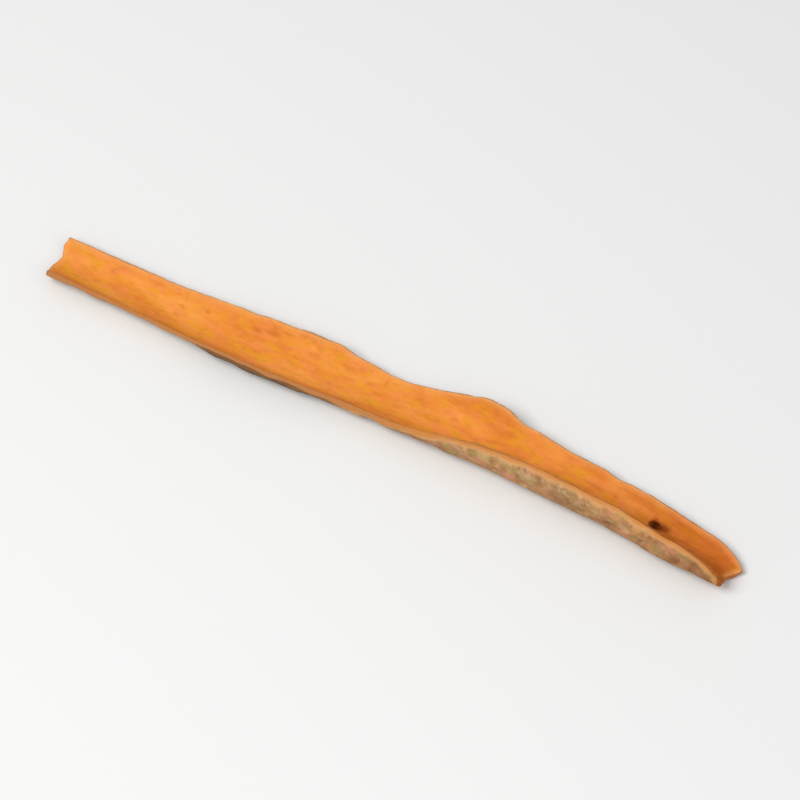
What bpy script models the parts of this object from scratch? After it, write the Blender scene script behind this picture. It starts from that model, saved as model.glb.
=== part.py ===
"""Split cassia bark: one dried stick of bark, split open along its length.

The bark was peeled from a branch as a flat strip, and it curled as it dried. The script does the same:
it lays out a flat grid of the strip, rolls it into a trough whose near edge curls over, gives the
strip its uneven thickness, presses the dead knot into its inner face, and sets it down on its back.
Lengths are in metres and +Z is up. X runs along the stick, and the near edge is the one at -Y.
"""

import math

import bmesh
import bpy
from mathutils import Vector, noise

MM = 0.001

# Driving sizes of the strip.
LENGTH = 294 * MM
THICKEST = 2.9 * MM
THINNEST = 1.3 * MM

# Cells of the flat grid, along the strip and across it.
CELLS_ALONG = 134
CELLS_ACROSS = 16

# Stations from the thin end to the broad end. Each row holds the share of the length, how far the
# spine of the strip wanders sideways, the flat widths from the spine to the near edge and to the far
# edge, and the radius that the near side and the far side curled to. Sizes are in millimetres.
STATIONS = (
    (0.00, -1.9, 11.4, 9.2, 11.5, 13.0),
    (0.16, -1.7, 12.0, 10.4, 11.5, 13.5),
    (0.30, -2.2, 14.6, 14.6, 11.5, 14.0),
    (0.42, 0.8, 13.2, 12.0, 11.0, 14.8),
    (0.50, 1.7, 13.2, 11.8, 10.4, 15.3),
    (0.60, 2.8, 19.2, 15.6, 9.8, 16.0),
    (0.70, 3.2, 21.2, 12.8, 9.6, 15.8),
    (0.82, 2.2, 21.2, 11.2, 9.4, 15.2),
    (0.92, -0.1, 19.2, 10.2, 9.2, 14.6),
    (1.00, -0.4, 18.4, 7.8, 9.0, 14.0),
)
SPINE, NEAR_WIDTH, FAR_WIDTH, NEAR_RADIUS, FAR_RADIUS = 1, 2, 3, 4, 5

# Broad bulges of the far edge: the share of the length, how far each stands out, and its reach.
FAR_BULGES = ((0.385, 1.8 * MM, 0.035), (0.606, 2.4 * MM, 0.030))

# The two corners of the broad end are broken away: where the slopes start, and what each one takes.
BROKEN_FROM = 0.94
NEAR_CORNER = 4.2 * MM
FAR_CORNER = 5.8 * MM

# The thin end broke off a little aslant, so that its far corner stands out. A shallow notch is left in
# it, and its corners are rounded. The broad end left a short tongue on the far side of the spine.
END_ALLOWANCE = 0.4 * MM
SLANT = 0.06
SLANT_STARTS = 9 * MM
NOTCH_DEPTH = 1.5 * MM
NOTCH_MIDDLE = 0.5 * MM
NOTCH_REACH = 4.5 * MM
CORNER_ROUNDING = 1.3 * MM
CORNER_REACH = 1.8 * MM
TONGUE_LENGTH = 4.2 * MM
TONGUE_STARTS = 3 * MM
TONGUE_SLOPE = 6 * MM

# The dead knot of a side shoot, pressed into the inner face, with the rind swollen behind it.
KNOT_ALONG = 0.870
KNOT_ACROSS = 2.4 * MM
KNOT_LENGTH = 6.4 * MM
KNOT_WIDTH = 3.2 * MM
KNOT_DEPTH = 1.3 * MM
KNOT_WALL = 0.5 * MM
KNOT_SWELL = 0.9
KNOT_SWELL_REACH = 2.4 * MM

# The two ends stand a little off the ground, and the back is worn flat where the stick rests.
END_LIFT = 0.5 * MM
FLAT_DEPTH = 0.35 * MM

# Natural unevenness. Each wave has its height, its grain along and across the strip, and a seed.
EDGE_WAVES = ((0.30 * MM, 22 * MM, 9 * MM, 3.0), (0.28 * MM, 7 * MM, 9 * MM, 5.0))
EDGE_PLACE = 9 * MM
END_WAVES = ((0.4 * MM, LENGTH, 5 * MM, 11.0), (0.4 * MM, LENGTH, 2.2 * MM, 13.0))
CURL_WAVES = ((0.14, 60 * MM, 8 * MM, 17.0),)
RIND_WAVES = ((0.28, 30 * MM, 7 * MM, 23.0), (0.30, 9 * MM, 4 * MM, 29.0))

# The share of the thickness that the bark has in the middle, how much it gains from the thin end to
# the broad one, and how much it loses at the two long edges, within a short reach of them.
RIND_MIDDLE = 0.60
RIND_GAIN = 0.25
LIP_TAPER = 0.50
LIP_REACH = 2.0 * MM

# How finely the curl is followed, and the angle from which a crease stays sharp.
CURL_STEPS = 20
CREASE = math.radians(50)


def between_stations(share, column):
    """A smooth curve through one column of STATIONS, at this share of the length."""
    last = len(STATIONS) - 1
    low = max(i for i in range(last) if STATIONS[i][0] <= share)
    high = low + 1

    def slope(i):
        before, after = STATIONS[max(i - 1, 0)], STATIONS[min(i + 1, last)]
        return (after[column] - before[column]) / (after[0] - before[0])

    span = STATIONS[high][0] - STATIONS[low][0]
    t = (share - STATIONS[low][0]) / span
    start, end = STATIONS[low][column], STATIONS[high][column]
    rise = t * t * (3 - 2 * t)
    leave = t * (1 - t) ** 2 * slope(low) * span
    arrive = t * t * (1 - t) * slope(high) * span
    return (start + (end - start) * rise + leave - arrive) * MM


def unevenness(waves, along, across):
    """The sum of smooth waves at one place on the flat strip."""
    total = 0.0
    for height, grain_along, grain_across, seed in waves:
        spot = Vector((along / grain_along, across / grain_across, seed))
        total += 2 * height * noise.noise(spot)
    return total


def bump(value, centre, reach):
    """A rounded hill of height 1 at the centre that dies away over the reach."""
    return math.exp(-(((value - centre) / reach) ** 2))


def edge_width(share, side):
    """The flat width from the spine to the near edge (side -1) or to the far one (side 1)."""
    width = between_stations(share, NEAR_WIDTH if side < 0 else FAR_WIDTH)
    width += unevenness(EDGE_WAVES, share * LENGTH, side * EDGE_PLACE)
    broken = max(0.0, (share - BROKEN_FROM) / (1 - BROKEN_FROM)) ** 2
    if side < 0:
        return width - NEAR_CORNER * broken
    for place, height, reach in FAR_BULGES:
        width += height * bump(share, place, reach)
    return width - FAR_CORNER * broken


def end_cut(across, from_lip, side):
    """How far the break at one end stands back from a square cut, at this place across the strip."""
    ragged = END_ALLOWANCE + unevenness(END_WAVES, side * LENGTH, across)
    if side < 0:
        aslant = SLANT * (SLANT_STARTS - across)
        notch = NOTCH_DEPTH * bump(across, NOTCH_MIDDLE, NOTCH_REACH)
        return ragged + aslant + notch + CORNER_ROUNDING * bump(from_lip, 0.0, CORNER_REACH)
    beside = min(1.0, max(0.0, (TONGUE_STARTS - across) / TONGUE_SLOPE))
    return ragged + TONGUE_LENGTH * beside**2 * (3 - 2 * beside)


def curl(share, across):
    """The rolled place of a flat point: its distance sideways and its height, from the spine."""
    radius = between_stations(share, NEAR_RADIUS if across < 0 else FAR_RADIUS)
    step = across / CURL_STEPS
    lean, sideways, height = 0.0, 0.0, 0.0
    for i in range(CURL_STEPS):
        middle = step * (i + 0.5)
        lean += step / radius * (1 + unevenness(CURL_WAVES, share * LENGTH, middle))
        sideways += math.cos(lean) * step
        height += math.sin(lean) * step
    return sideways, height


def flat_strip():
    """The strip as it was peeled: a flat grid, 1 by 1, with its shares along and across in X and Y."""
    strip = bmesh.new()
    bmesh.ops.create_grid(strip, x_segments=CELLS_ALONG, y_segments=CELLS_ACROSS, size=0.5)
    for vertex in strip.verts:
        vertex.co += Vector((0.5, 0.5, 0.0))
    return strip


def round_off_knot(strip):
    """Moves the grid points nearest the knot onto its oval, and returns its middle point's index."""
    near, far = edge_width(KNOT_ALONG, -1), edge_width(KNOT_ALONG, 1)
    knot = Vector((KNOT_ALONG, (KNOT_ACROSS + near) / (near + far), 0.0))
    middle = min(strip.verts, key=lambda vertex: (vertex.co - knot).length)
    ring = {vertex for face in middle.link_faces for vertex in face.verts} - {middle}
    for vertex in ring:
        right = (vertex.co.x - middle.co.x) * CELLS_ALONG
        up = (vertex.co.y - middle.co.y) * CELLS_ACROSS
        turn = math.atan2(up, right)
        vertex.co.x = knot.x + math.cos(turn) * KNOT_LENGTH / 2 / LENGTH
        vertex.co.y = knot.y + math.sin(turn) * KNOT_WIDTH / 2 / (near + far)
    middle.co = knot
    return middle.index


def rind_depth(share, across, from_lip):
    """How much of the full thickness the bark has here, from 0 at its thinnest to 1."""
    depth = RIND_MIDDLE + RIND_GAIN * (share - 0.5)
    depth += unevenness(RIND_WAVES, share * LENGTH, across)
    depth -= LIP_TAPER * bump(from_lip, 0.0, LIP_REACH)
    stretch = KNOT_LENGTH / KNOT_WIDTH
    from_knot = math.hypot((share - KNOT_ALONG) * LENGTH / stretch, across - KNOT_ACROSS)
    depth += KNOT_SWELL * bump(from_knot, 0.0, KNOT_SWELL_REACH)
    return min(1.0, max(0.0, depth))


def roll_up(strip):
    """Moves every flat point to its place on the rolled inner face, and returns the rind's depths."""
    depths = []
    for vertex in strip.verts:
        share = min(1.0, max(0.0, vertex.co.x))
        near, far = edge_width(share, -1), edge_width(share, 1)
        across = (near + far) * vertex.co.y - near
        from_lip = min(near + across, far - across)
        start, stop = end_cut(across, from_lip, -1), LENGTH - end_cut(across, from_lip, 1)
        sideways, height = curl(share, across)
        sideways += between_stations(share, SPINE)
        height += END_LIFT * abs(2 * share - 1) ** 3
        vertex.co = Vector((start + (stop - start) * share, sideways, height))
        depths.append(rind_depth(share, across, from_lip))
    return depths


def thicken(stick, depths):
    """Gives the rolled sheet its uneven thickness, on the side of the rind."""
    group = stick.vertex_groups.new(name="rind_depth")
    for index, depth in enumerate(depths):
        group.add([index], depth, "REPLACE")
    rind = stick.modifiers.new("rind", "SOLIDIFY")
    rind.thickness = THICKEST
    rind.offset = -1.0
    rind.use_even_offset = True
    rind.vertex_group = group.name
    rind.thickness_vertex_group = THINNEST / THICKEST
    bpy.context.view_layer.objects.active = stick
    bpy.ops.object.modifier_apply(modifier=rind.name)
    stick.vertex_groups.clear()


def press_knot(stick, middle):
    """Sinks the knot's oval below the inner face, around the grid point with this index."""
    solid = bmesh.new()
    solid.from_mesh(stick.data)
    solid.verts.ensure_lookup_table()
    cells = list(solid.verts[middle].link_faces)
    bmesh.ops.inset_region(solid, faces=cells, thickness=KNOT_WALL, depth=-KNOT_DEPTH)
    solid.to_mesh(stick.data)
    solid.free()


def set_down(stick):
    """Flattens the back where it touches the ground, and puts the origin under the middle."""
    points = [vertex.co.copy() for vertex in stick.data.vertices]
    ground = min(point.z for point in points) + FLAT_DEPTH
    middle_x = (min(point.x for point in points) + max(point.x for point in points)) / 2
    middle_y = (min(point.y for point in points) + max(point.y for point in points)) / 2
    for vertex in stick.data.vertices:
        vertex.co.z = max(vertex.co.z, ground)
        vertex.co -= Vector((middle_x, middle_y, ground))


def inner_bark():
    """The warm, matt orange-brown of the dried inner face."""
    material = bpy.data.materials.new("bark")
    material.use_nodes = True
    shader = material.node_tree.nodes["Principled BSDF"]
    shader.inputs["Base Color"].default_value = (0.76, 0.27, 0.06, 1.0)
    shader.inputs["Roughness"].default_value = 0.65
    shader.inputs["Metallic"].default_value = 0.0
    return material


def build():
    for old in list(bpy.data.objects):
        bpy.data.objects.remove(old)
    strip = flat_strip()
    knot_middle = round_off_knot(strip)
    depths = roll_up(strip)
    mesh = bpy.data.meshes.new("bark_strip")
    strip.to_mesh(mesh)
    strip.free()
    mesh.materials.append(inner_bark())
    stick = bpy.data.objects.new("bark_strip", mesh)
    bpy.context.scene.collection.objects.link(stick)
    thicken(stick, depths)
    press_knot(stick, knot_middle)
    set_down(stick)
    mesh.shade_smooth()
    mesh.set_sharp_from_angle(angle=CREASE)


build()
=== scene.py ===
# %% [markdown]
# # A stick of split cassia bark
# Cassia is peeled from the branch as a flat strip and dried. The strip curls as it dries, so the smooth
# inner face ends up as the hollow of a trough, and the grey-tan rind as its back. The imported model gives
# the true form of the trough. This lesson adds what is finer than that: the layered split edges, the
# wrinkled rind with its crusts and pores, the fibres and stains of the inner face, and the old knot.

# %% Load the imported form
import math
import random

import bmesh
import bpy
import numpy as np
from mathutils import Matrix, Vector, noise


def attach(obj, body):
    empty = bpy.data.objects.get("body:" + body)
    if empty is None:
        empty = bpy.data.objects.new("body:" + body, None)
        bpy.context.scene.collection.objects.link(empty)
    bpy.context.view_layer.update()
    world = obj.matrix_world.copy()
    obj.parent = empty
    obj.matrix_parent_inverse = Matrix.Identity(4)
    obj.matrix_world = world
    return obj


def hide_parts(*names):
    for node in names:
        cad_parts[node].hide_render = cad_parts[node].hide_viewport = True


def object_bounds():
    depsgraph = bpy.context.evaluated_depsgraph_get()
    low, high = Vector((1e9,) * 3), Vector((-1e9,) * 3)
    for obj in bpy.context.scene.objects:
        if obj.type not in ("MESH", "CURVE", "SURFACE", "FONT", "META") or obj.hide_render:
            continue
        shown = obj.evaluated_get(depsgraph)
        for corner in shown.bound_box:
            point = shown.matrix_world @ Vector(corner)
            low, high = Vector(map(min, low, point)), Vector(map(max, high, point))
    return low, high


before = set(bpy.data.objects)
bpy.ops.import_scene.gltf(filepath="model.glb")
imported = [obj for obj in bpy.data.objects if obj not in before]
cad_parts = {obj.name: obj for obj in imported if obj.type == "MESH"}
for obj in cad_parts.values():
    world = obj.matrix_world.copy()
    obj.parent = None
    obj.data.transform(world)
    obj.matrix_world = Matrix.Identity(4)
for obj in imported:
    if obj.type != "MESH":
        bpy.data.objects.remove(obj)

MM = 0.001
form_low, form_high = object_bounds()
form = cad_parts["bark_strip"]
print("packed form, mm:", [round(side / MM, 1) for side in form_high - form_low])

# %% [markdown]
# ## Reading places from the form
# Everything below is placed from the form itself. The finer relief follows the curl, so it needs to
# know where the spine of the trough runs: that is read from the lowest points of the form, slice by
# slice, and smoothed to a gentle curve. The knot is found as it would be with a fingertip, by feeling
# straight down at its place for the deepest point.

# %% Find the spine
middle = (form_low + form_high) / 2
half_length = (form_high.x - form_low.x) / 2
CURL_AXIS = 11.5 * MM
CURL_RADIUS = 12 * MM
SLICES = 29
SLICE_BAND = 1.2 * MM
SPINE_DEGREE = 6


def find_spine(mesh):
    """A smooth curve of the sideways place of the trough's lowest points, along the stick."""
    points = np.array([vertex.co for vertex in mesh.vertices])
    slices = np.linspace(form_low.x, form_high.x, SLICES + 1)
    centres, sideways = [], []
    for start, stop in zip(slices, slices[1:]):
        here = points[(points[:, 0] >= start) & (points[:, 0] <= stop)]
        lowest = here[here[:, 2] < here[:, 2].min() + SLICE_BAND]
        centres.append((start + stop) / 2 / half_length)
        sideways.append(lowest[:, 1].mean())
    return np.polynomial.Polynomial.fit(centres, sideways, SPINE_DEGREE)


spine = find_spine(form.data)
print("spine sideways, mm:", [round(float(spine(t)) / MM, 1) for t in (-1, -0.5, 0, 0.5, 1)])

# %% Find the knot
KNOT_SEARCH_LOW = (101 * MM, -1 * MM)
KNOT_SEARCH_HIGH = (115 * MM, 4 * MM)
KNOT_STEPS = (57, 21)
KNOT_FLOOR = 0.35 * MM


def find_knot():
    """The middle of the lowest places that are felt from above inside the search rectangle."""
    found = []
    for x in np.linspace(KNOT_SEARCH_LOW[0], KNOT_SEARCH_HIGH[0], KNOT_STEPS[0]):
        for y in np.linspace(KNOT_SEARCH_LOW[1], KNOT_SEARCH_HIGH[1], KNOT_STEPS[1]):
            hit, place, _, _ = form.ray_cast(Vector((x, y, form_high.z)), Vector((0, 0, -1)))
            if hit:
                found.append(place)
    deepest = min(place.z for place in found)
    floor_of_knot = [place for place in found if place.z < deepest + KNOT_FLOOR]
    return sum(floor_of_knot, Vector()) / len(floor_of_knot)


knot = find_knot()
print("knot, mm:", [round(side / MM, 1) for side in knot])

# %% [markdown]
# ## The camera, the floor and the light
# A long lens looks down on the stick from the front right, as one looks at spices laid out on a table.
# One large soft light hangs high in front, a little to the left, and a weaker one fills in from the
# right. So the hollow is lit on both of its sides, the rind darkens softly towards the table, and the
# stick has a short soft shadow.

# %% Place the camera
VIEW_AZIMUTH = math.radians(29)
VIEW_ELEVATION = math.radians(58)
VIEW_DISTANCE = 6.0
FRAME_WIDTH = 0.300
SENSOR = 36.0
CLIP_END = 20.0

toward_camera = Vector((
    math.sin(VIEW_AZIMUTH) * math.cos(VIEW_ELEVATION),
    -math.cos(VIEW_AZIMUTH) * math.cos(VIEW_ELEVATION),
    math.sin(VIEW_ELEVATION),
))
bpy.ops.object.select_all(action="DESELECT")
bpy.ops.object.camera_add(location=middle + toward_camera * VIEW_DISTANCE)
camera = bpy.context.object
camera.name = "camera"
camera.rotation_euler = toward_camera.to_track_quat("Z", "Y").to_euler()
camera.data.sensor_width = SENSOR
camera.data.lens = SENSOR * VIEW_DISTANCE / FRAME_WIDTH
camera.data.clip_end = CLIP_END
bpy.context.scene.camera = camera
print("lens, mm:", round(camera.data.lens))

# %% Lay the floor
FLOOR_SIZE = 6.0
FLOOR_GAP = 0.02 * MM
FLOOR_COLOUR = (0.83, 0.83, 0.825)
FLOOR_ROUGHNESS = 0.9


def plain_material(name, colour, roughness):
    """A bare Principled material, for things that are only background."""
    material = bpy.data.materials.new(name)
    material.use_nodes = True
    shader = material.node_tree.nodes["Principled BSDF"]
    shader.inputs["Base Color"].default_value = (*colour, 1.0)
    shader.inputs["Roughness"].default_value = roughness
    return material


bpy.ops.object.select_all(action="DESELECT")
bpy.ops.mesh.primitive_plane_add(size=FLOOR_SIZE, location=(0, 0, -FLOOR_GAP))
floor = bpy.context.object
floor.name = "floor"
floor.data.materials.append(plain_material("pale_paper", FLOOR_COLOUR, FLOOR_ROUGHNESS))
print("floor laid")

# %% Hang the lights
KEY_PLACE = Vector((-0.44, -0.72, 1.42))
FILL_PLACE = Vector((1.1, -0.4, 1.0))
KEY_SIZE, KEY_POWER, KEY_COLOUR = 0.8, 17.8, (1.0, 0.985, 0.96)
FILL_SIZE, FILL_POWER, FILL_COLOUR = 1.2, 4.0, (0.96, 0.98, 1.0)
ROOM_COLOUR, ROOM_STRENGTH = (0.96, 0.975, 1.0), 0.46


def soft_light(name, place, size, power, colour):
    """A square soft light that faces the stick."""
    bpy.ops.object.light_add(type="AREA", location=place)
    light = bpy.context.object
    light.name = name
    light.rotation_euler = (place - middle).to_track_quat("Z", "Y").to_euler()
    light.data.size = size
    light.data.energy = power
    light.data.color = colour
    return light


soft_light("key_light", KEY_PLACE, KEY_SIZE, KEY_POWER, KEY_COLOUR)
soft_light("fill_light", FILL_PLACE, FILL_SIZE, FILL_POWER, FILL_COLOUR)
room = bpy.data.worlds.new("pale_room")
room.use_nodes = True
room.node_tree.nodes["Background"].inputs["Color"].default_value = (*ROOM_COLOUR, 1.0)
room.node_tree.nodes["Background"].inputs["Strength"].default_value = ROOM_STRENGTH
bpy.context.scene.world = room
bpy.context.scene.view_settings.view_transform = "Standard"
print("lights:", [lamp.name for lamp in bpy.data.lights])

# %% [markdown]
# ## The stick itself
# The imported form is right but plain: its cells are two millimetres wide. A copy of it is joined into
# one skin, its triangles are paired into squares, and its faces are sorted into the three surfaces that
# a real stick has: the inner face, the rind, and the split edge between them. Only then is it made
# finer, so that each new small face already knows which surface it belongs to.

# %% Copy the form and join it
JOIN_WITHIN = 0.001 * MM
SQUARE_SHAPE = 1.2


def copy_of_form():
    """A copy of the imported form, as one skin of squares with nothing else selected."""
    bpy.ops.object.select_all(action="DESELECT")
    copy = form.copy()
    copy.data = form.data.copy()
    copy.parent = None
    copy.name = "cassia_stick"
    bpy.context.scene.collection.objects.link(copy)
    copy.select_set(True)
    bpy.context.view_layer.objects.active = copy
    bpy.ops.mesh.customdata_custom_splitnormals_clear()
    bpy.ops.object.mode_set(mode="EDIT")
    bpy.ops.mesh.select_all(action="SELECT")
    bpy.ops.mesh.remove_doubles(threshold=JOIN_WITHIN)
    bpy.ops.mesh.tris_convert_to_quads(face_threshold=1.0, shape_threshold=SQUARE_SHAPE)
    bpy.ops.object.mode_set(mode="OBJECT")
    copy.data.materials.clear()
    return copy


stick = copy_of_form()
print("squares and triangles:", len(stick.data.polygons))

# %% Sort the surfaces
INNER, RIND, EDGE = 0, 1, 2
FACES_IN, FACES_OUT = 0.55, -0.7
KNOT_SURROUND, NOT_ON_BACK = 4.5 * MM, -0.5


def facing(centre, normal):
    """How far a face looks towards the axis of the curl: 1 in the hollow, -1 on the back."""
    towards = Vector((0, spine(centre.x / half_length) - centre.y, CURL_AXIS - centre.z))
    return normal.dot(towards.normalized())


def sort_surfaces(mesh):
    """Gives every face the slot of the surface that it belongs to."""
    for face in mesh.polygons:
        inwards = facing(face.center, face.normal)
        beside_knot = (face.center - knot).length < KNOT_SURROUND and inwards > NOT_ON_BACK
        if inwards > FACES_IN or beside_knot:
            face.material_index = INNER
        else:
            face.material_index = RIND if inwards < FACES_OUT else EDGE
    return [sum(face.material_index == slot for face in mesh.polygons) for slot in range(3)]


for name in ("inner_face", "rind", "split_edge"):
    stick.data.materials.append(bpy.data.materials.new(name))
print("faces of inner, rind, edge:", sort_surfaces(stick.data))

# %% [markdown]
# Subdivision would round the split edges until the trough looked moulded. A crease along every lip
# holds it back, and leaves the slight softness of a dry, handled edge.

# %% Make it finer
LIP_ANGLE = math.radians(48)
LIP_CREASE = 0.72
FINER_LEVELS = 2


def crease_lips(mesh):
    """Creases each edge between two surfaces, so that subdivision keeps the lips."""
    mesh_edit = bmesh.new()
    mesh_edit.from_mesh(mesh)
    crease = mesh_edit.edges.layers.float.new("crease_edge")
    for edge in mesh_edit.edges:
        sides = {face.material_index for face in edge.link_faces}
        if len(sides) > 1 or edge.calc_face_angle(0) > LIP_ANGLE:
            edge[crease] = LIP_CREASE
    mesh_edit.to_mesh(mesh)
    mesh_edit.free()


crease_lips(stick.data)
finer = stick.modifiers.new("finer", "SUBSURF")
finer.levels = FINER_LEVELS
finer.render_levels = FINER_LEVELS
bpy.context.view_layer.objects.active = stick
bpy.ops.object.modifier_apply(modifier=finer.name)
print("faces after subdivision:", len(stick.data.polygons))

# %% [markdown]
# ## Measuring the surface
# The relief and the colours both ask the same questions of each point: how far along the stick it is,
# how far round the curl, how near a split edge, how deep through the bark, how near the knot. The
# answers are worked out once and kept on the mesh: the first two as a UV map in metres, the others as
# attributes that the materials can read.

# %% Measure along and around
mesh = stick.data
count = len(mesh.vertices)
points = np.empty(count * 3)
mesh.vertices.foreach_get("co", points)
points = points.reshape(-1, 3)
along = points[:, 0]
turn = np.arctan2(points[:, 1] - spine(along / half_length), CURL_AXIS - points[:, 2])
around = turn * CURL_RADIUS
grain_map = mesh.uv_layers.new(name="grain")
corner_points = np.empty(len(mesh.loops), dtype=np.int32)
mesh.loops.foreach_get("vertex_index", corner_points)
grain_map.data.foreach_set("uv", np.stack([along, around], 1)[corner_points].astype(np.float32).ravel())
print("grain map spans, mm:", round(np.ptp(along) / MM), "by", round(np.ptp(around) / MM))


# %% Share of each surface
def share_of_slot(slot):
    """For every point, the share of its faces that belong to one surface."""
    hits, total = np.zeros(count), np.zeros(count)
    for face in mesh.polygons:
        corners = list(face.vertices)
        total[corners] += 1
        if face.material_index == slot:
            hits[corners] += 1
    return hits / np.maximum(total, 1)


on_inner, on_rind, on_edge = (share_of_slot(slot) for slot in (INNER, RIND, EDGE))
print("points of inner, rind, edge:", [int((share > 0.5).sum()) for share in (on_inner, on_rind, on_edge)])

# %% Distances over the skin
WALK_STEPS = 24
LIP_REACH = 7.0 * MM
WALL_REACH = 5.0 * MM
pairs = np.array([edge.vertices[:] for edge in mesh.edges])
lengths = np.linalg.norm(points[pairs[:, 0]] - points[pairs[:, 1]], axis=1)


def distance_from(start, reach):
    """The distance over the skin from the points where start is true, up to the reach."""
    distance = np.where(start, 0.0, reach)
    for _ in range(WALK_STEPS):
        across = distance[pairs] + lengths[:, None]
        np.minimum.at(distance, pairs[:, 0], across[:, 1])
        np.minimum.at(distance, pairs[:, 1], across[:, 0])
    return distance


near_lip = 1 - distance_from(on_edge > 0, LIP_REACH) / LIP_REACH
from_inner = distance_from(on_inner > 0, WALL_REACH)
from_rind = distance_from(on_rind > 0, WALL_REACH)
wall_depth = from_inner / (from_inner + from_rind)
print("points on lips:", int((on_edge > 0).sum()))

# %% Nearness to the knot
KNOT_STAIN_SHIFT = np.array((-0.4, 0.7, 0.0)) * MM
KNOT_STRETCH = np.array((1.1, 1.5, 1.0))
KNOT_REACH = 3.0 * MM
TAIL_LENGTH, TAIL_WIDTH, TAIL_SHIFT = 4.0 * MM, 1.9 * MM, 2.6 * MM
off_rind = on_rind < 0.5
from_knot = np.linalg.norm((points - np.array(knot) - KNOT_STAIN_SHIFT) / KNOT_STRETCH, axis=1)
near_knot = np.clip(1 - from_knot / KNOT_REACH, 0, 1) * off_rind
tail_along = (along - knot.x - TAIL_SHIFT) / TAIL_LENGTH
tail_across = (points[:, 1] - knot.y) / TAIL_WIDTH
knot_tail = np.exp(-(tail_along**2) - tail_across**2) * off_rind
print("points at the knot:", int((near_knot > 0).sum()))

# %% Scuffs
SCUFFS = (
    (-57, 11.0, 3.8, 1.7, 1.0),
    (-63, 9.5, 2.2, 1.2, 0.8),
    (-84, 7.8, 1.3, 1.0, 1.0),
    (-131, -1.0, 1.4, 0.8, 0.7),
    (-117, 2.5, 1.0, 0.7, 0.6),
    (-24, 5.0, 6.0, 0.8, 0.4),
    (18, -10.0, 5.0, 1.5, 0.5),
    (46, -12.0, 9.0, 1.6, 0.5),
    (71, 5.0, 3.5, 1.4, 0.5),
)


def scuffs():
    """Small brown bruises of the inner face. Each row: along, around, length, width in mm, strength."""
    strength = np.zeros(count)
    for place_along, place_around, length, width, depth in SCUFFS:
        far = ((along / MM - place_along) / length) ** 2 + ((around / MM - place_around) / width) ** 2
        strength = np.maximum(strength, depth * np.exp(-far))
    return strength * off_rind


scuff = scuffs()
print("points under scuffs:", int((scuff > 0.3).sum()))

# %% Where a shadow is painted on the rind
SHADOW_FROM, SHADOW_TO, SHADOW_FADE = -88 * MM, -18 * MM, 14 * MM
SHADOW_SPREAD = 7 * MM
SHADOW_WANDER, SHADOW_WAVE = 6 * MM, 1.7 * MM


def paint_near_rind_shadow():
    """The stretch of rind, low on the near side, where a dark shadow is painted."""
    wandering = along + SHADOW_WANDER * np.sin(around / SHADOW_WAVE)
    rise = np.clip((wandering - SHADOW_FROM) / SHADOW_FADE, 0, 1)
    fall = np.clip((SHADOW_TO - wandering) / SHADOW_FADE, 0, 1)
    return rise * fall * np.clip(-around / SHADOW_SPREAD, 0, 1) * on_rind


# Painted shadow: a dark patch low on the near side of the rind.
near_rind_shadow = paint_near_rind_shadow()
print("points under the stain:", int((near_rind_shadow > 0.3).sum()))

# %% [markdown]
# ## Relief that the hand can feel
# The rind is lumpy and wrinkled, with warty breathing pores and thin dry crusts. The inner face is
# nearly smooth, with long shallow creases. The split edge is layered and crumbles. Each is a height
# above the surface, worked out from smooth noise in the grain's own directions, and every point then
# moves along its normal by the sum. A noise that follows the grain is named with the length and width
# of its lumps in mm, its seed and its octaves. A noise of round crumbs has one size in place of two.

# %% Noise that follows the grain
FADE, FINER_BY = 1.0, 2.0


def grain_noise(length, width, seed, octaves):
    """Smooth noise, about -1 to 1, in lumps of this length and width on the grain map, in mm."""
    places = zip(along / (length * MM), around / (width * MM))
    values = (noise.fractal(Vector((u, v, seed)), FADE, FINER_BY, octaves) for u, v in places)
    return np.fromiter(values, float, count)


def crumb_noise(size, seed, octaves):
    """Smooth noise, about -1 to 1, in round lumps of this size in mm."""
    shift = Vector((seed, -seed, seed))
    spots = (Vector(point) / (size * MM) + shift for point in points)
    values = (noise.fractal(spot, FADE, FINER_BY, octaves) for spot in spots)
    return np.fromiter(values, float, count)


def step_up(values, start, stop):
    """A smooth step from 0 to 1 as the values go from start to stop."""
    t = np.clip((values - start) / (stop - start), 0, 1)
    return t * t * (3 - 2 * t)


print("example of steps:", step_up(np.array((0.2, 0.5, 0.8)), 0, 1).round(2))

# %% Relief of the rind
LUMP_HEIGHT, LUMPS = 0.09 * MM, (8.0, 4.0, 21.0, 3)
FURROW_DEPTH, WRINKLES, FURROW_STEP = 0.13 * MM, (8.0, 1.3, 33.0, 2), (0.86, 1.0)
CRUST_PATCHES, CRUST_FRAYS, FRAY_SHARE = (5.0, 5.0, 52.0, 4), (1.6, 1.3, 57.0, 2), 0.35
CRUST_HEIGHT, CRUST_STEP = 0.07 * MM, (0.16, 0.34)
CRUST_ROUGHNESS, CRUST_GRAINS = 0.05 * MM, (0.9, 0.8, 61.0, 2)
lumps = LUMP_HEIGHT * grain_noise(*LUMPS)
furrow = step_up(1 - np.abs(grain_noise(*WRINKLES)), *FURROW_STEP)
crust_field = grain_noise(*CRUST_PATCHES) + FRAY_SHARE * grain_noise(*CRUST_FRAYS)
crust = step_up(crust_field, *CRUST_STEP) * on_rind
crust_height = crust * (CRUST_HEIGHT + CRUST_ROUGHNESS * grain_noise(*CRUST_GRAINS))
print("share of the rind under crusts:", round(float(crust.sum() / on_rind.sum()), 2))

# %% Breathing pores
PORE_COUNT = 260
PORE_HEIGHT = 0.12 * MM
PORE_LENGTH, PORE_WIDTH = (0.3, 0.5), (0.5, 1.2)
PORES_AROUND = (-28, 20)
PORE_SEED = 7
pore_random = random.Random(PORE_SEED)


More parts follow.
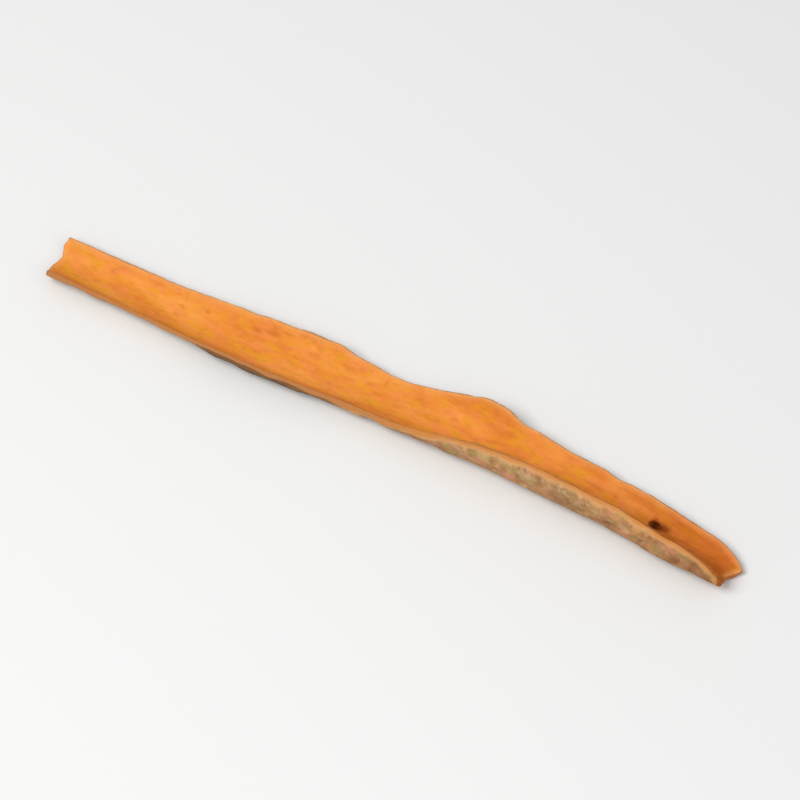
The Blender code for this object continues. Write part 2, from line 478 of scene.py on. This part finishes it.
def pores():
    """Low warts, wider round the stick than along it, scattered over the rind."""
    height = np.zeros(count)
    for _ in range(PORE_COUNT):
        place_along = pore_random.uniform(form_low.x, form_high.x)
        place_around = pore_random.uniform(*PORES_AROUND) * MM
        length = pore_random.uniform(*PORE_LENGTH) * MM
        width = pore_random.uniform(*PORE_WIDTH) * MM
        far = ((along - place_along) / length) ** 2 + ((around - place_around) / width) ** 2
        height = np.maximum(height, np.exp(-far))
    return height


pore = pores() * on_rind
rind_relief = (lumps - FURROW_DEPTH * furrow + PORE_HEIGHT * pore) * on_rind + crust_height
print("rind relief, mm:", round(rind_relief.min() / MM, 2), "to", round(rind_relief.max() / MM, 2))

# %% Relief of the inner face
CREASE_DEPTH, CREASES, CREASE_STEP = 0.07 * MM, (34.0, 1.7, 71.0, 3), (0.90, 1.0)
FIBRE_HEIGHT, FIBRES = 0.02 * MM, (18.0, 0.6, 75.0, 2)
SWELL_HEIGHT, SWELLS = 0.08 * MM, (14.0, 5.0, 79.0, 2)
creases = step_up(1 - np.abs(grain_noise(*CREASES)), *CREASE_STEP)
fibres = grain_noise(*FIBRES)
swells = grain_noise(*SWELLS)
inner_relief = (SWELL_HEIGHT * swells + FIBRE_HEIGHT * fibres - CREASE_DEPTH * creases) * on_inner
print("inner relief, mm:", round(inner_relief.min() / MM, 2), "to", round(inner_relief.max() / MM, 2))

# %% [markdown]
# Where the bark was split and broken, it parts between its layers. So the edge gets low ridges that
# run with the layers, besides the crumbs, and the two ends get short teeth of torn fibre.

# %% Relief of the split edge
CRUMB_HEIGHT, CRUMBS, CHIPS = 0.09 * MM, (1.3, 83.0, 3), (7.0, 3.0, 85.0, 2)
CRUMBS_KEEP_TO_LIP = 6
LAYER_HEIGHT, LAYER_COUNT = 0.10 * MM, 3.0
WOBBLE, WOBBLE_REACH = (5.0, 87.0, 2), 0.9
crumbs = CRUMB_HEIGHT * crumb_noise(*CRUMBS) + CRUMB_HEIGHT * grain_noise(*CHIPS)
layer_wobble = WOBBLE_REACH * crumb_noise(*WOBBLE)
layers = LAYER_HEIGHT * np.sin(2 * math.pi * (LAYER_COUNT * wall_depth + layer_wobble)) * on_edge
edge_relief = crumbs * near_lip**CRUMBS_KEEP_TO_LIP + layers
print("edge relief, mm:", round(edge_relief.min() / MM, 2), "to", round(edge_relief.max() / MM, 2))

# %% [markdown]
# The two lips differ. The far one is pale and freshly split. The near one is orange where it curls over
# and brown and weathered beyond, and so is the break at the thin end. Low on the rind, shade is painted
# in, darker towards the table. These measures don't move the points, but the colours need them.

# %% Which lip, and how low
LIP_SIDE = 3 * MM, 9 * MM
BROWN_FADE = -20 * MM, 18 * MM
THIN_BREAK, BREAK_BROWN = 2.2 * MM, 0.8
LOW_SHADE_FADE = 2 * MM, 7 * MM
near_side = step_up(-around, *LIP_SIDE)
at_thin_break = BREAK_BROWN * (along < form_low.x + THIN_BREAK)
brown_lip = np.maximum(near_side * (1 - step_up(along, *BROWN_FADE)), at_thin_break)
# Painted shade: the rind is darker the nearer it lies to the table.
low_rind_shade = (1 - step_up(points[:, 2], *LOW_SHADE_FADE)) * on_rind
print("points of the brown lip:", int((brown_lip * on_edge > 0.5).sum()))

# %% Move the points
TOOTH_LENGTH = 0.38 * MM
TEETH, SPLINTERS, SPLINTER_SHARE = (60.0, 0.8, 91.0, 3), (0.9, 93.0, 2), 0.4
normals = np.empty(count * 3)
mesh.vertex_normals.foreach_get("vector", normals)
normals = normals.reshape(-1, 3)
moved = points + normals * (rind_relief + inner_relief + edge_relief)[:, None]
on_break = np.abs(normals[:, 0]) * on_edge
teeth = TOOTH_LENGTH * on_break * (grain_noise(*TEETH) + SPLINTER_SHARE * crumb_noise(*SPLINTERS))
moved[:, 0] += np.sign(normals[:, 0]) * teeth
moved = np.clip(moved, (form_low.x, form_low.y, 0.0), form_high)
mesh.vertices.foreach_set("co", moved.ravel())
mesh.update()
print("stick, mm:", ((moved.max(0) - moved.min(0)) / MM).round(1))


# %% Keep the measures on the mesh
def keep(name, values):
    """Stores one number for every point as an attribute of the mesh."""
    attribute = mesh.attributes.new(name, "FLOAT", "POINT")
    attribute.data.foreach_set("value", np.ascontiguousarray(values, dtype=np.float32))


MEASURES = {
    "near_lip": near_lip,
    "near_knot": near_knot,
    "knot_tail": knot_tail,
    "wall_depth": wall_depth,
    "scuff": scuff,
    "near_rind_shadow": near_rind_shadow,
    "near_side": near_side,
    "brown_lip": brown_lip,
    "low_rind_shade": low_rind_shade,
    "crust": crust,
    "pore": pore,
    "furrow": furrow * on_rind + creases * on_inner,
}
for name, values in MEASURES.items():
    keep(name, values)
bpy.ops.object.select_all(action="DESELECT")
stick.select_set(True)
bpy.context.view_layer.objects.active = stick
bpy.ops.object.shade_smooth()
print("measures kept:", list(MEASURES))

# %% [markdown]
# ## The finishes
# Each of the three surfaces has its own material. They share a few effects, and each of those is a
# shader node group, built once and placed in a material with its own values: a cloud stretched along
# the grain, a cloud of round crumbs, the rust-brown stain that comes on towards the broad end, the
# tone of the lips, and the fine roughness of dry cork.

# %% A short way to write node trees
MIDDLE_OF_CLOUD = 0.5


class Nodes:
    """Adds nodes to one tree and joins them, so that a finish reads from top to bottom."""

    def __init__(self, tree):
        self.tree = tree

    def add(self, kind, inputs=None, **settings):
        """One node, with its settings and with values or sockets for its inputs."""
        node = self.tree.nodes.new(kind)
        for name, value in settings.items():
            setattr(node, name, value)
        for key, value in (inputs or {}).items():
            self.put(node.inputs[key], value)
        return node

    def put(self, socket, value):
        """Gives an input a colour, a number, or a link from another node."""
        if isinstance(value, bpy.types.NodeSocket):
            self.tree.links.new(value, socket)
        elif isinstance(value, tuple) and socket.type == "RGBA":
            socket.default_value = (*value, 1.0)
        else:
            socket.default_value = value

    def ramp(self, factor, stops):
        """A colour ramp with these (position, colour) stops."""
        node = self.add("ShaderNodeValToRGB", {"Fac": factor})
        elements = node.color_ramp.elements
        while len(elements) < len(stops):
            elements.new(0.5)
        for element, (position, colour) in zip(elements, stops):
            element.position = position
            element.color = (*colour, 1.0)
        return node.outputs["Color"]

    def mask(self, value, start, stop, top=1.0):
        """A smooth mask that rises from 0 to the top between start and stop."""
        inputs = {"Value": value, "From Min": start, "From Max": stop, "To Max": top}
        return self.add("ShaderNodeMapRange", inputs, interpolation_type="SMOOTHSTEP").outputs["Result"]

    def mix(self, factor, first, second, blend="MIX"):
        """Two colours mixed by a mask."""
        node = self.add("ShaderNodeMix", data_type="RGBA", blend_type=blend)
        for index, value in ((0, factor), (6, first), (7, second)):
            self.put(node.inputs[index], value)
        return node.outputs[2]

    def math(self, operation, first, second):
        """One sum."""
        return self.add("ShaderNodeMath", {0: first, 1: second}, operation=operation).outputs[0]

    def jitter(self, cloud, reach):
        """A cloud turned into a small push either way, for breaking up a border."""
        return self.math("MULTIPLY", self.math("SUBTRACT", cloud, MIDDLE_OF_CLOUD), reach)

    def measure(self, name):
        """A measure that was kept on the mesh."""
        return self.add("ShaderNodeAttribute", attribute_name=name).outputs["Fac"]

    def marked(self, colour, value, start, stop, top, tone, blend="MIX"):
        """The colour with another tone laid over it where a value is high."""
        return self.mix(self.mask(value, start, stop, top), colour, tone, blend)

    def effect(self, group, **inputs):
        """One of the shared effects, with its own values."""
        node = self.add("ShaderNodeGroup", node_tree=group)
        for name, value in inputs.items():
            self.put(node.inputs[name], value)
        return node.outputs[0]


def new_effect(name, inputs, output):
    """An empty node group with these inputs and one output, and a helper to fill it."""
    tree = bpy.data.node_groups.new(name, "ShaderNodeTree")
    for label, kind, value in inputs:
        tree.interface.new_socket(label, in_out="INPUT", socket_type=kind).default_value = value
    tree.interface.new_socket(output[0], in_out="OUTPUT", socket_type=output[1])
    nodes = Nodes(tree)
    return nodes, nodes.add("NodeGroupInput").outputs, nodes.add("NodeGroupOutput").inputs[0]


NUMBER, COLOUR, DIRECTION = "NodeSocketFloat", "NodeSocketColor", "NodeSocketVector"
PER_METRE = 1 / MM
print("node helpers ready")


# %% Effect: a cloud stretched along the grain
def build_grain_cloud():
    """Noise on the grain map. Length and Width are the size of its lumps in mm."""
    sizes = [("Length", NUMBER, 10.0), ("Width", NUMBER, 3.0)]
    inputs = [*sizes, ("Seed", NUMBER, 0.0), ("Detail", NUMBER, 3.0)]
    nodes, given, result = new_effect("grain_cloud", inputs, ("Cloud", NUMBER))
    place = nodes.add("ShaderNodeUVMap", uv_map="grain").outputs["UV"]
    parts = nodes.add("ShaderNodeSeparateXYZ", {"Vector": place}).outputs
    scaled = []
    for side, size in ((parts["X"], given["Length"]), (parts["Y"], given["Width"])):
        scaled.append(nodes.math("DIVIDE", nodes.math("MULTIPLY", side, PER_METRE), size))
    spot = nodes.add("ShaderNodeCombineXYZ", {"X": scaled[0], "Y": scaled[1], "Z": given["Seed"]})
    settings = {"Vector": spot.outputs["Vector"], "Scale": 1.0, "Detail": given["Detail"]}
    nodes.put(result, nodes.add("ShaderNodeTexNoise", settings).outputs["Fac"])
    return nodes.tree


grain_cloud = build_grain_cloud()
print("effect:", grain_cloud.name)


# %% Effect: a cloud of round crumbs
def build_crumb_cloud():
    """Noise in the object's own space, the same in every direction. Size is in mm."""
    inputs = [("Size", NUMBER, 1.0), ("Seed", NUMBER, 0.0), ("Detail", NUMBER, 3.0)]
    nodes, given, result = new_effect("crumb_cloud", inputs, ("Cloud", NUMBER))
    place = nodes.add("ShaderNodeTexCoord").outputs["Object"]
    scale = nodes.math("DIVIDE", PER_METRE, given["Size"])
    cloud = nodes.add("ShaderNodeTexNoise", noise_dimensions="4D")
    settings = {"Vector": place, "W": given["Seed"], "Scale": scale, "Detail": given["Detail"]}
    for key, value in settings.items():
        nodes.put(cloud.inputs[key], value)
    nodes.put(result, cloud.outputs["Fac"])
    return nodes.tree


crumb_cloud = build_crumb_cloud()
print("effect:", crumb_cloud.name)

# %% Effect: the rust-brown stain of the broad end
STAIN_STARTS, STAIN_FULL = 0.055, 0.135
STAIN_CLOUD_LENGTH, STAIN_CLOUD_WIDTH, STAIN_WANDER = 16.0, 5.0, 0.06
STAIN_TINT = (0.73, 0.55, 0.42)


def build_rust_stain():
    """Darkens and reddens a colour towards the broad end, in uneven clouds."""
    inputs = [("Colour", COLOUR, (1, 1, 1, 1)), ("Amount", NUMBER, 1.0), ("Seed", NUMBER, 0.0)]
    nodes, given, result = new_effect("rust_stain", inputs, ("Colour", COLOUR))
    place = nodes.add("ShaderNodeUVMap", uv_map="grain").outputs["UV"]
    stick_along = nodes.add("ShaderNodeSeparateXYZ", {"Vector": place}).outputs["X"]
    sizes = {"Length": STAIN_CLOUD_LENGTH, "Width": STAIN_CLOUD_WIDTH}
    patches = nodes.effect(grain_cloud, **sizes, Seed=given["Seed"])
    shifted = nodes.math("ADD", stick_along, nodes.jitter(patches, STAIN_WANDER))
    strength = nodes.math("MULTIPLY", nodes.mask(shifted, STAIN_STARTS, STAIN_FULL), given["Amount"])
    nodes.put(result, nodes.mix(strength, given["Colour"], STAIN_TINT, "MULTIPLY"))
    return nodes.tree


rust_stain = build_rust_stain()
print("effect:", rust_stain.name)

# %% Effect: the tone of the lips
FAR_LIP = (0.84, 0.385, 0.135)
CURLED_LIP = (0.60, 0.225, 0.052)
BROWN_LIP = (0.46, 0.180, 0.056)


def build_lip_tone():
    """The colour at the lips: pale on the far side, orange where the near side curls, brown beyond."""
    nodes, _, result = new_effect("lip_tone", [], ("Colour", COLOUR))
    colour = nodes.mix(nodes.measure("near_side"), FAR_LIP, CURLED_LIP)
    nodes.put(result, nodes.mix(nodes.measure("brown_lip"), colour, BROWN_LIP))
    return nodes.tree


lip_tone = build_lip_tone()
print("effect:", lip_tone.name)

# %% Effect: the roughness of dry cork
CORK_BUMP, CORK_DEPTH = 0.5, 0.15 * MM


def build_cork_bump():
    """A normal shaken by fine crumbs. Size is in mm."""
    inputs = [("Size", NUMBER, 0.5), ("Seed", NUMBER, 17.0), ("Detail", NUMBER, 5.0)]
    nodes, given, result = new_effect("cork_bump", inputs, ("Normal", DIRECTION))
    fine = nodes.effect(crumb_cloud, Size=given["Size"], Seed=given["Seed"], Detail=given["Detail"])
    settings = {"Height": fine, "Strength": CORK_BUMP, "Distance": CORK_DEPTH}
    nodes.put(result, nodes.add("ShaderNodeBump", settings).outputs["Normal"])
    return nodes.tree


cork_bump = build_cork_bump()
print("effect:", cork_bump.name)

# %% [markdown]
# A finish starts from one broad cloud of tones. Smaller clouds of other tones are laid over it, and each
# is one row of a table. A row gives the size of the cloud in mm: length and width for one that follows
# the grain, or a single size for round crumbs. Then come its seed and detail, where the tone begins to
# show and where it is full, its strength, and the tone itself. The values named SHOWS say the same of a
# measure: where it begins to show, where it is full, and its strength.

# %% Laying clouds over a colour
def cloud(nodes, size, seed, detail):
    """A stretched cloud for a (length, width) size, and a round one for a single size."""
    if isinstance(size, tuple):
        return nodes.effect(grain_cloud, Length=size[0], Width=size[1], Seed=seed, Detail=detail)
    return nodes.effect(crumb_cloud, Size=size, Seed=seed, Detail=detail)


def clouded(nodes, colour, rows):
    """The colour with every cloud of the table laid over it."""
    for size, seed, detail, start, stop, top, tone in rows:
        colour = nodes.marked(colour, cloud(nodes, size, seed, detail), start, stop, top, tone)
    return colour


def start_finish(material, roughness, shine):
    """Turns nodes on, sets the plain values, and returns the node helper and the shader."""
    material.use_nodes = True
    shader = material.node_tree.nodes["Principled BSDF"]
    shader.inputs["Roughness"].default_value = roughness
    shader.inputs["Specular IOR Level"].default_value = shine
    return Nodes(material.node_tree), shader


print("cloud helpers ready")

# %% [markdown]
# ### Inner face
# The inner face is what the branch's sap ran through: warm orange, dry and faintly fibrous, in soft
# clouds of a yellower and a redder tone. It is paler near the far lip, and darkens at its scuffs and at
# the knot, which bled a short brown tail along the grain.

# %% The inner face's tones
INNER_CLOUD = (26.0, 10.0), 3.0, 3.0
INNER_TONES = ((0.36, (0.70, 0.218, 0.030)), (0.50, (0.78, 0.272, 0.042)), (0.64, (0.85, 0.332, 0.064)))
INNER_CLOUDS = (
    ((8.5, 5.5), 21.0, 2.0, 0.46, 0.64, 0.80, (0.76, 0.315, 0.026)),
    ((8.0, 5.0), 33.0, 2.0, 0.46, 0.66, 0.70, (0.82, 0.264, 0.070)),
    ((7.0, 4.0), 37.0, 2.0, 0.50, 0.74, 0.60, (0.62, 0.200, 0.030)),
    ((18.0, 1.3), 7.0, 4.0, 0.50, 0.80, 0.20, (0.52, 0.145, 0.020)),
    ((1.6, 1.1), 11.0, 2.0, 0.72, 0.84, 0.25, (0.44, 0.130, 0.020)),
)
# Painted shade: the creases of the inner face are darkened.
CREASE_SHADE, CREASE_SHOWS = (0.45, 0.13, 0.02), (0.2, 1.0, 0.08)
SCUFF_TONE, SCUFF_SHOWS = (0.50, 0.11, 0.018), (0.1, 1.0, 0.5)
FAR_BLOOM, FAR_BLOOM_SHOWS = (0.84, 0.350, 0.105), (0.58, 0.94, 0.55)
# Painted light: lifts the shade on the inner face just inside the near lip, towards the thin end.
NEAR_LIP_PAINTED_LIGHT, NEAR_LIP_PAINTED_LIGHT_SHOWS = (0.88, 0.330, 0.075), (0.55, 0.92, 0.60)
LIP_CLOUD, LIP_WANDER, LIP_SHOWS = ((8.5, 5.5), 21.0, 2.0), 0.30, (0.92, 1.02, 0.7)
FIBRE_CLOUD, FIBRE_BUMP, FIBRE_DEPTH = ((6.0, 0.25), 15.0, 4.0), 0.3, 0.12 * MM
INNER_ROUGHNESS, INNER_SHINE = 0.66, 0.06
print("clouds of the inner face:", len(INNER_CLOUDS))

# %% The knot's stain
SAP_BROWN, TAIL_SHOWS, STAIN_SHOWS = (0.20, 0.042, 0.005), (0.05, 0.90, 0.85), (0.0, 0.50, 0.75)
KNOT_BROWN, KNOT_SHOWS = (0.070, 0.013, 0.001), (0.25, 0.85, 0.95)
KNOT_CLOUD, KNOT_WANDER = ((2.2, 1.6), 51.0, 3.0), 0.60


def knotted(nodes, colour):
    """The colour with the knot and its tail on it, with borders that a small cloud frays."""
    frayed = nodes.jitter(cloud(nodes, *KNOT_CLOUD), KNOT_WANDER)
    tail = nodes.math("ADD", nodes.measure("knot_tail"), frayed)
    stain = nodes.math("ADD", nodes.measure("near_knot"), frayed)
    colour = nodes.marked(colour, tail, *TAIL_SHOWS, SAP_BROWN)
    colour = nodes.marked(colour, stain, *STAIN_SHOWS, SAP_BROWN)
    return nodes.marked(colour, stain, *KNOT_SHOWS, KNOT_BROWN)


print("knot stain ready")


# %% Finish the inner face
def lips_of_inner(nodes, colour):
    """The colour paler towards the far lip, with painted light just inside the near lip where shade falls,
    and the lip's own tone at its very edge.
    """
    lip = nodes.math("ADD", nodes.measure("near_lip"), nodes.jitter(cloud(nodes, *LIP_CLOUD), LIP_WANDER))
    far_side = nodes.math("SUBTRACT", 1.0, nodes.measure("near_side"))
    far_bloom = nodes.math("MULTIPLY", nodes.mask(lip, *FAR_BLOOM_SHOWS), far_side)
    # Painted light just inside the near lip, where the near wall's shade falls.
    near_lip_painted_light = nodes.math("MULTIPLY", nodes.mask(lip, *NEAR_LIP_PAINTED_LIGHT_SHOWS), nodes.measure("brown_lip"))
    colour = nodes.mix(far_bloom, colour, FAR_BLOOM)
    colour = nodes.mix(near_lip_painted_light, colour, NEAR_LIP_PAINTED_LIGHT)
    return nodes.marked(colour, lip, *LIP_SHOWS, nodes.effect(lip_tone))


def finish_inner(material):
    """Warm orange, dry and faintly fibrous, paler at the lips and dark brown at the knot."""
    nodes, shader = start_finish(material, INNER_ROUGHNESS, INNER_SHINE)
    colour = clouded(nodes, nodes.ramp(cloud(nodes, *INNER_CLOUD), INNER_TONES), INNER_CLOUDS)
    # Painted shade in the creases of the inner face.
    colour = nodes.marked(colour, nodes.measure("furrow"), *CREASE_SHOWS, CREASE_SHADE)
    colour = nodes.effect(rust_stain, Colour=colour, Amount=1.0, Seed=41.0)
    colour = nodes.marked(colour, nodes.measure("scuff"), *SCUFF_SHOWS, SCUFF_TONE)
    colour = knotted(nodes, lips_of_inner(nodes, colour))
    fibres = cloud(nodes, *FIBRE_CLOUD)
    bump = nodes.add("ShaderNodeBump", {"Height": fibres, "Strength": FIBRE_BUMP, "Distance": FIBRE_DEPTH})
    nodes.put(shader.inputs["Base Color"], colour)
    nodes.put(shader.inputs["Normal"], bump.outputs["Normal"])


finish_inner(mesh.materials[INNER])
print("inner face finished")

# %% [markdown]
# ### Rind
# The rind is the outer skin of the branch: thin cork in soft blotches of beige, tan, brown and a dull
# green, a few millimetres across. Its wrinkles are darkened with painted shade, and it has pale dry crusts
# and small breathing pores. It is paler towards the lips, partly worn and partly painted light on its
# upturned top, and it has worn through to the orange along the lips.

# %% The rind's tones
RIND_TONES = ((0.32, (0.25, 0.122, 0.050)), (0.48, (0.41, 0.200, 0.077)), (0.64, (0.56, 0.300, 0.116)))
RIND_BLOTCHES = (5.4, 5.4), 5.0, 3.0
RIND_CLOUDS = (
    ((7.0, 5.0), 13.0, 3.0, 0.48, 0.64, 0.80, (0.55, 0.240, 0.140)),
    ((7.5, 5.0), 29.0, 3.0, 0.50, 0.64, 0.80, (0.40, 0.280, 0.098)),
    ((30.0, 16.0), 15.0, 2.0, 0.48, 0.66, 0.50, (0.29, 0.155, 0.070)),
)
RIND_SPECKS = (
    (2.8, 31.0, 3.0, 0.56, 0.72, 0.42, (0.68, 0.47, 0.27)),
    (0.45, 19.0, 2.0, 0.55, 0.75, 0.22, (0.30, 0.16, 0.07)),
)
CRUST_CLOUD, CRUST_SHOWS = (1.7, 9.0, 3.0), (0.1, 1.0, 0.42)
CRUST_TONES = ((0.35, (0.47, 0.275, 0.125)), (0.64, (0.62, 0.42, 0.225)))
# Painted shade: the wrinkles of the rind are darkened.
FURROW_SHADE, FURROW_SHOWS = (0.20, 0.10, 0.045), (0.1, 1.0, 0.24)
PORE_TONE, PORE_SHOWS = (0.27, 0.14, 0.065), (0.2, 0.9, 0.35)
# Painted shade: the tint that darkens the rind towards the table.
LOW_SHADE_TINT, LOW_SHADE_SHOWS = (0.66, 0.62, 0.58), (0.0, 1.0, 0.95)
# Painted shadow: the tint of the dark patch low on the near rind.
SHADOW_TINT, SHADOW_SHOWS = (0.34, 0.34, 0.38), (0.0, 1.0, 0.95)
# Partly worn rind and partly painted light: paler on the upturned top of the band near the lips.
PALE_WEAR_AND_LIGHT, PALE_WEAR_AND_LIGHT_SHOWS = (0.70, 0.36, 0.135), (0.56, 0.82, 0.65)
WORN_ORANGE, ORANGE_SHOWS, WORN_WANDER = (0.60, 0.222, 0.050), (0.77, 0.95, 0.90), 0.5
RIND_ROUGHNESS, RIND_SHINE = 0.85, 0.2
RIND_CRUMBS = {"Size": 0.5, "Seed": 17.0, "Detail": 5.0}
print("clouds and specks of the rind:", len(RIND_CLOUDS), len(RIND_SPECKS))


# %% Finish the rind
def worn_through(nodes, colour, blotches):
    """The colour paler towards the lips, partly worn rind and partly painted light on the band's upturned
    top, then worn to orange, with a torn border.
    """
    lip = nodes.math("ADD", nodes.measure("near_lip"), nodes.jitter(blotches, WORN_WANDER))
    # Partly wear, partly painted light: paler towards the lips.
    colour = nodes.marked(colour, lip, *PALE_WEAR_AND_LIGHT_SHOWS, PALE_WEAR_AND_LIGHT)
    return nodes.marked(colour, lip, *ORANGE_SHOWS, WORN_ORANGE)


def finish_rind(material):
    """Mottled beige and tan cork, with painted shade in its wrinkles and pale crusts."""
    nodes, shader = start_finish(material, RIND_ROUGHNESS, RIND_SHINE)
    blotches = cloud(nodes, *RIND_BLOTCHES)
    colour = clouded(nodes, nodes.ramp(blotches, RIND_TONES), RIND_CLOUDS)
    crust_tone = nodes.ramp(cloud(nodes, *CRUST_CLOUD), CRUST_TONES)
    colour = nodes.marked(colour, nodes.measure("crust"), *CRUST_SHOWS, crust_tone)
    # Painted shade in the wrinkles of the rind.
    colour = nodes.marked(colour, nodes.measure("furrow"), *FURROW_SHOWS, FURROW_SHADE)
    colour = nodes.marked(colour, nodes.measure("pore"), *PORE_SHOWS, PORE_TONE)
    colour = clouded(nodes, colour, RIND_SPECKS)
    # Painted shade: the rind darkens towards the table.
    colour = nodes.marked(colour, nodes.measure("low_rind_shade"), *LOW_SHADE_SHOWS, LOW_SHADE_TINT, "MULTIPLY")
    colour = nodes.effect(rust_stain, Colour=colour, Amount=0.5, Seed=43.0)
    colour = worn_through(nodes, colour, blotches)
    # Painted shadow: a dark patch low on the near rind.
    colour = nodes.marked(colour, nodes.measure("near_rind_shadow"), *SHADOW_SHOWS, SHADOW_TINT, "MULTIPLY")
    nodes.put(shader.inputs["Base Color"], colour)
    nodes.put(shader.inputs["Normal"], nodes.effect(cork_bump, **RIND_CRUMBS))


finish_rind(mesh.materials[RIND])
print("rind finished")

# %% [markdown]
# ### Split edge
# Seen from the edge, the bark has layers: orange-brown wood next to the inner face, a paler, granular
# layer in the middle, and a thin brown skin of cork. The measure of depth through the wall picks the
# layer, and a cloud of crumbs keeps their borders loose.

# %% Finish the split edge
EDGE_LAYERS = (
    (0.05, (0.74, 0.28, 0.07)),
    (0.42, (0.80, 0.38, 0.13)),
    (0.70, (0.68, 0.33, 0.11)),
    (0.95, (0.46, 0.23, 0.095)),
)
EDGE_CLOUDS = (
    ((22.0, 9.0), 23.0, 3.0, 0.46, 0.66, 0.30, (0.56, 0.220, 0.060)),
    (0.8, 27.0, 2.0, 0.50, 0.66, 0.40, (0.36, 0.155, 0.050)),
)
LAYER_CLOUD, LAYER_WANDER = (1.6, 13.0, 4.0), 1.1
FAR_LIP_SHARE, NEAR_LIP_EXTRA = 0.5, 0.45
EDGE_ROUGHNESS, EDGE_SHINE = 0.8, 0.2
EDGE_CRUMBS = {"Size": 0.45, "Seed": 19.0, "Detail": 4.0}


def finish_edge(material):
    """Layered and granular: orange-brown, then pale tan, then a thin skin of cork."""
    nodes, shader = start_finish(material, EDGE_ROUGHNESS, EDGE_SHINE)
    loose = nodes.jitter(cloud(nodes, *LAYER_CLOUD), LAYER_WANDER)
    colour = nodes.ramp(nodes.math("ADD", nodes.measure("wall_depth"), loose), EDGE_LAYERS)
    extra = nodes.math("MULTIPLY", nodes.measure("near_side"), NEAR_LIP_EXTRA)
    colour = nodes.mix(nodes.math("ADD", extra, FAR_LIP_SHARE), colour, nodes.effect(lip_tone))
    colour = clouded(nodes, colour, EDGE_CLOUDS)
    colour = nodes.effect(rust_stain, Colour=colour, Amount=1.0, Seed=47.0)
    nodes.put(shader.inputs["Base Color"], colour)
    nodes.put(shader.inputs["Normal"], nodes.effect(cork_bump, **EDGE_CRUMBS))


finish_edge(mesh.materials[EDGE])
print("split edge finished")

# %% Put the stick in the frame
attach(stick, "root")
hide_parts("bark_strip")
